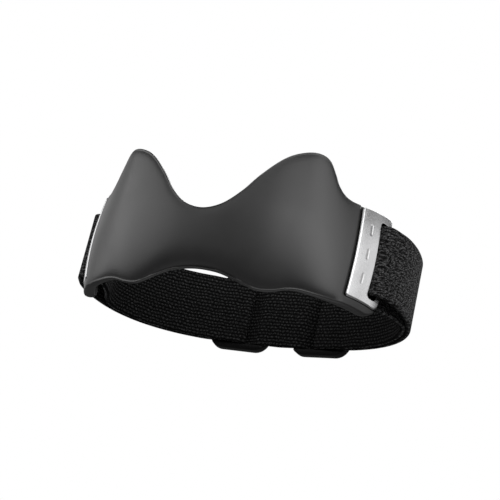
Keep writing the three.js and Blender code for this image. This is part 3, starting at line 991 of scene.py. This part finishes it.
def plate_material():
    m = Material("polished_plate")
    along, height, depth = m.plan()
    stretched = m.vector(m.math("MULTIPLY", along, BRUSH_ALONG), m.math("MULTIPLY", height, BRUSH_UP))
    brushed = m.noise(stretched, BRUSH_SCALE)
    cloud = m.noise(m.place(), PLATE_CLOUD_SCALE)
    face = m.ramp(m.spread(cloud, 0, 1), *PLATE_GREYS)
    cut = m.span(depth, PLATE_PROUD - ENGRAVED_DEPTH, PLATE_PROUD, 1, 0)
    marked = m.mix(m.math("MULTIPLY", cut, GROOVE_GREY_SHARE), face, GROOVE_GREY)
    # Painted shade: the side walls, lower than the face, take the near black colour
    colour = m.mix(m.span(depth, *SIDE_SHADE_HEIGHTS, 0, 1), SIDE_PAINTED_SHADE, marked)
    brush = m.spread(brushed, -PLATE_BRUSH_ROUGHNESS, PLATE_BRUSH_ROUGHNESS)
    rough = m.math("ADD", m.spread(cloud, *PLATE_ROUGHNESS), brush)
    normal = m.bump(brushed, *PLATE_BUMP)
    return m.finish(Base_Color=colour, Metallic=1.0, Roughness=rough, Normal=normal)


# The knit: loops inside the band, a finer slanting rib outside, and the selvedge at its edges
STITCH = 1.75
RIB = 1.55
SLANT_PITCH = 1.15
SELVEDGE = 1.5

# The knit's noises, per millimetre: a slow wander of its rows, and the fuzz of the yarn
WANDER_SCALE = 0.22
WANDER_ALONG = 3.2
WANDER_UP = 1.6
FUZZ_SCALE = 1.9
FUZZ_DETAIL = 5.0
FUZZ_ROUGH = 0.7

# The looped side: tones, and what each form adds to the relief
INSIDE_GREYS = (0.003, 0.085)
LOOP_SHARE = 0.8
LOOP_FUZZ = (0.42, 0.62, 0.05, 1.5)
LOOP_FUZZ_RELIEF = 1.1

# The heathered side in the same way
OUTSIDE_GREYS = (0.001, 0.14)
SLANT_UP = 0.75
SLANT_ALONG = 0.65
FLECK_STRETCH = 0.9
FLECK_SCALE = 1.25
FLECK_ROUGH = 0.6
FLECK_RANGE = (0.46, 0.57)
YARN_FUZZ = (0.42, 0.58, 0.04, 1.25)
DARK_YARN = 0.08
TWILL_RELIEF = 0.45
FUZZ_RELIEF = 1.3
FLECK_RELIEF = 0.8

# The heathered side is darker by the guard and paler behind it, partly painted shade from the guard
# and plates and partly the knit stretched more open further back: y in metres, then tones
OUTSIDE_SHADE_AND_STRETCH = (-0.022, 0.006, 0.75, 1.35)
SIDE_BLEND = 0.15
HEM_RELIEF = 0.7
KNIT_BUMP = (0.9, 0.0004)


def waves(m, value, pitch):
    """A wave from 0 to 1 with a pitch in millimetres."""
    wave = m.math("COSINE", m.math("MULTIPLY", value, 2 * math.pi / pitch))
    return m.math("MULTIPLY_ADD", wave, 0.5, 0.5)


def looped_side(m, along, height, fuzz):
    """Tone and relief of the side towards the leg: staggered rows of small loops."""
    row = m.math("SUBTRACT", 1.0, waves(m, height, RIB))
    rib = m.math("FLOOR", m.math("DIVIDE", height, RIB))
    loop = waves(m, m.math("MULTIPLY_ADD", rib, STITCH / 2, along), STITCH)
    bead = m.math("MULTIPLY", row, m.math("MULTIPLY_ADD", loop, LOOP_SHARE, 1 - LOOP_SHARE))
    tone = m.math("MULTIPLY", bead, m.span(fuzz, *LOOP_FUZZ))
    return tone, m.math("MULTIPLY_ADD", fuzz, LOOP_FUZZ_RELIEF, bead)


def heathered_side(m, along, height, fuzz):
    """Tone and relief of the side that shows: dark and pale yarns with a slight slant."""
    slant = m.math("MULTIPLY_ADD", height, SLANT_UP, m.math("MULTIPLY", along, SLANT_ALONG))
    twill = waves(m, slant, SLANT_PITCH)
    flecked = m.vector(slant, m.math("MULTIPLY", height, FLECK_STRETCH))
    fleck = m.noise(flecked, FLECK_SCALE, rough=FLECK_ROUGH)
    pale = m.span(fleck, *FLECK_RANGE, 0, 1)
    yarn = m.span(fuzz, *YARN_FUZZ)
    tone = m.math("MULTIPLY", m.math("MULTIPLY_ADD", pale, 1 - DARK_YARN, DARK_YARN), yarn)
    relief = m.math("MULTIPLY_ADD", twill, TWILL_RELIEF, m.math("MULTIPLY", fuzz, FUZZ_RELIEF))
    return tone, m.math("MULTIPLY_ADD", fleck, FLECK_RELIEF, relief)


def strap_material():
    m = Material("charcoal_knit")
    along, height, outwards = m.plan()
    wander = m.noise(m.vector(along, height), WANDER_SCALE, detail=2.0)
    along_off = m.math("MULTIPLY_ADD", wander, WANDER_ALONG, along)
    height_off = m.math("MULTIPLY_ADD", wander, WANDER_UP, height)
    fuzz = m.noise(m.vector(along, height), FUZZ_SCALE, FUZZ_DETAIL, FUZZ_ROUGH)
    tone_in, relief_in = looped_side(m, along_off, height_off, fuzz)
    tone_out, relief_out = heathered_side(m, along_off, height_off, fuzz)
    back_and_front = m.node("ShaderNodeSeparateXYZ", {"Vector": m.place()}).outputs[1]
    # Partly painted shade: the outside tone is darker towards the guard and paler behind it
    tone_out = m.math("MULTIPLY", tone_out, m.span(back_and_front, *OUTSIDE_SHADE_AND_STRETCH))
    outside = m.span(outwards, -SIDE_BLEND, SIDE_BLEND, 0, 1)
    colour = m.mix(outside, m.ramp(tone_in, *INSIDE_GREYS), m.ramp(tone_out, *OUTSIDE_GREYS))
    edge = m.span(m.math("ABSOLUTE", height), STRAP_WIDTH / 2 - SELVEDGE, STRAP_WIDTH / 2, 0, 1)
    hem = m.math("SINE", m.math("MULTIPLY", edge, math.pi))
    side = m.math("MULTIPLY", outside, m.math("SUBTRACT", relief_out, relief_in))
    relief = m.math("MULTIPLY_ADD", hem, HEM_RELIEF, m.math("ADD", side, relief_in))
    normal = m.bump(relief, *KNIT_BUMP)
    return m.finish(
        Base_Color=colour,
        Roughness=0.95,
        Normal=normal,
        Sheen_Weight=0.01,
        Sheen_Roughness=0.5,
        Specular_IOR_Level=0.03,
    )


# The sliders' plastic
SLIDER_GREYS = (0.0025, 0.004)
SLIDER_ROUGHNESS = (0.3, 0.4)
SLIDER_GRAIN_SCALE = 900.0
SLIDER_MOTTLE_SCALE = 90.0
SLIDER_BUMP = (0.08, 0.0001)


def slider_material():
    m = Material("black_plastic")
    place = m.place()
    grain = m.noise(place, SLIDER_GRAIN_SCALE, detail=2.0)
    mottle = m.noise(place, SLIDER_MOTTLE_SCALE, detail=2.0)
    colour = m.ramp(mottle, *SLIDER_GREYS)
    rough = m.spread(mottle, *SLIDER_ROUGHNESS)
    normal = m.bump(grain, *SLIDER_BUMP)
    return m.finish(Base_Color=colour, Roughness=rough, Normal=normal, Specular_IOR_Level=0.14)


def dress(obj, node, material):
    """Give an object its material, hide the CAD solid that it stands for and attach it to the root
    body.
    """
    obj.data.materials.clear()
    obj.data.materials.append(material)
    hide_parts(node)
    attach(obj, "root")


def direction(azimuth, elevation):
    """The way out from the middle. Azimuth 0 is -Y and 90 is +X."""
    a, e = math.radians(azimuth), math.radians(elevation)
    return Vector((math.sin(a) * math.cos(e), -math.cos(a) * math.cos(e), math.sin(e)))


# Camera, from the fit to the photograph: degrees, metres, lens in millimetres, shift in frame widths
VIEW_AZIMUTH = 26.55
VIEW_ELEVATION = -20.62
VIEW_ROLL = 13.3
VIEW_DISTANCE = 0.63503
VIEW_LENS = 107.5
VIEW_SHIFT = (0.0119, 0.0386)
VIEW_SENSOR = 36
VIEW_CLIP = (0.05, 20)


def make_camera():
    away = direction(VIEW_AZIMUTH, VIEW_ELEVATION)
    right = Vector((math.cos(math.radians(VIEW_AZIMUTH)), math.sin(math.radians(VIEW_AZIMUTH)), 0))
    up = away.cross(right)
    roll = math.radians(VIEW_ROLL)
    x = right * math.cos(roll) + up * math.sin(roll)
    y = -right * math.sin(roll) + up * math.cos(roll)
    data = bpy.data.cameras.new("view")
    data.lens = VIEW_LENS
    data.sensor_width = VIEW_SENSOR
    data.shift_x, data.shift_y = VIEW_SHIFT
    data.clip_start, data.clip_end = VIEW_CLIP
    camera = bpy.data.objects.new("view", data)
    bpy.context.scene.collection.objects.link(camera)
    turn = Matrix((x, y, away)).transposed().to_4x4()
    camera.matrix_world = Matrix.Translation(away * VIEW_DISTANCE) @ turn
    bpy.context.scene.camera = camera


def soft_light(name, azimuth, elevation, distance, width, height, power):
    data = bpy.data.lights.new(name, "AREA")
    data.shape = "RECTANGLE"
    data.size, data.size_y = width, height
    data.energy = power
    light = bpy.data.objects.new(name, data)
    bpy.context.scene.collection.objects.link(light)
    away = direction(azimuth, elevation)
    light.location = away * distance
    light.rotation_euler = (-away).to_track_quat("-Z", "Y").to_euler()


# Soft boxes round the object: azimuth, elevation and power in watts
SOFT_BOXES = {
    "left_rear": (-118, 10, 0.48),
    "left_rim": (-92, 10, 0.38),
    "left": (-70, 10, 1.53),
    "left_front": (-45, 10, 1.11),
    "middle_low": (-15, 10, 0.12),
    "middle_high": (-15, 44, 0.71),
    "front": (18, 10, 1.11),
    "right_low": (42, 10, 1.73),
    "right_high": (42, 44, 0.26),
    "side_low": (62, 10, 0.92),
    "side_high": (62, 44, 0.84),
    "plate": (84, 10, 0.39),
    "plate_rear_low": (108, 10, 0.44),
    "plate_rear_high": (108, 44, 0.08),
}
BOX_DISTANCE = 0.9
BOX_WIDTH = 0.36
BOX_HEIGHT = 0.62

# The two other lights: azimuth, elevation, distance, width, height and power
OTHER_LIGHTS = {
    "bevel_glint": (14, 20, 0.9, 0.12, 0.3, 0.3),
    "back": (180, 40, 1.1, 1.0, 0.7, 10.0),
}


def make_lights():
    for name, (azimuth, elevation, power) in SOFT_BOXES.items():
        soft_light(name, azimuth, elevation, BOX_DISTANCE, BOX_WIDTH, BOX_HEIGHT, power)
    for name, light in OTHER_LIGHTS.items():
        soft_light(name, *light)


# The world's brightness on the object. The camera sees it as white.
WORLD_LEVEL = 0.115


def make_world():
    world = bpy.data.worlds.new("pale")
    bpy.context.scene.world = world
    world.use_nodes = True
    nodes, links = world.node_tree.nodes, world.node_tree.links
    ground = nodes["Background"]
    ground.inputs["Color"].default_value = (1, 1, 1, 1)
    rays = nodes.new("ShaderNodeLightPath")
    level = nodes.new("ShaderNodeMapRange")
    level.inputs["To Min"].default_value = WORLD_LEVEL
    level.inputs["To Max"].default_value = 1.0
    links.new(rays.outputs["Is Camera Ray"], level.inputs["Value"])
    links.new(level.outputs[0], ground.inputs["Strength"])


# The floor: a disc under the object that fades out towards its edge, in metres
FLOOR_RADIUS = 0.75
FLOOR_FULL = 0.25
FLOOR_DEPTH = -0.8
FLOOR_POINTS = 96
FLOOR_GREYS = (0.86, 0.9)
FLOOR_MOTTLE_SCALE = 4.0


def make_floor():
    """A plain pale floor far below, out of the main view."""
    turn = np.linspace(0, 2 * math.pi, FLOOR_POINTS, endpoint=False)
    depth = np.full(FLOOR_POINTS, FLOOR_DEPTH)
    points = np.column_stack([np.cos(turn) * FLOOR_RADIUS, np.sin(turn) * FLOOR_RADIUS, depth])
    floor = mesh_object("floor", points / MM, [tuple(range(FLOOR_POINTS))])
    m = Material("pale_floor")
    mottle = m.noise(m.place(), FLOOR_MOTTLE_SCALE, detail=2.0)
    flat = m.node("ShaderNodeVectorMath", {0: m.place(), 1: (1, 1, 0)}, operation="MULTIPLY")
    reach = m.node("ShaderNodeVectorMath", {0: flat.outputs[0]}, operation="LENGTH")
    shown = m.span(reach.outputs["Value"], FLOOR_FULL, FLOOR_RADIUS, 1, 0)
    floor.data.materials.append(
        m.finish(Base_Color=m.ramp(mottle, *FLOOR_GREYS), Roughness=0.8, Alpha=shown)
    )


def make_object():
    guard = make_guard()
    plate_right = make_plate()
    plate_left = mirrored(plate_right, "slot_plate_metal_left")
    strap, length = make_strap()
    metal = plate_material()
    black = slider_material()
    dress(guard, "guard_shell", guard_material())
    dress(plate_right, "slot_plate_right", metal)
    dress(plate_left, "slot_plate_left", metal)
    dress(strap, "knit_strap", strap_material())
    dress(make_slider("tri_glide_right", 1), "slider_right", black)
    dress(make_slider("tri_glide_left", -1), "slider_left", black)
    print("band length mm", round(length, 1))


make_camera()
make_lights()
make_world()
make_object()
make_floor()
bpy.context.scene.view_settings.view_transform = "Standard"
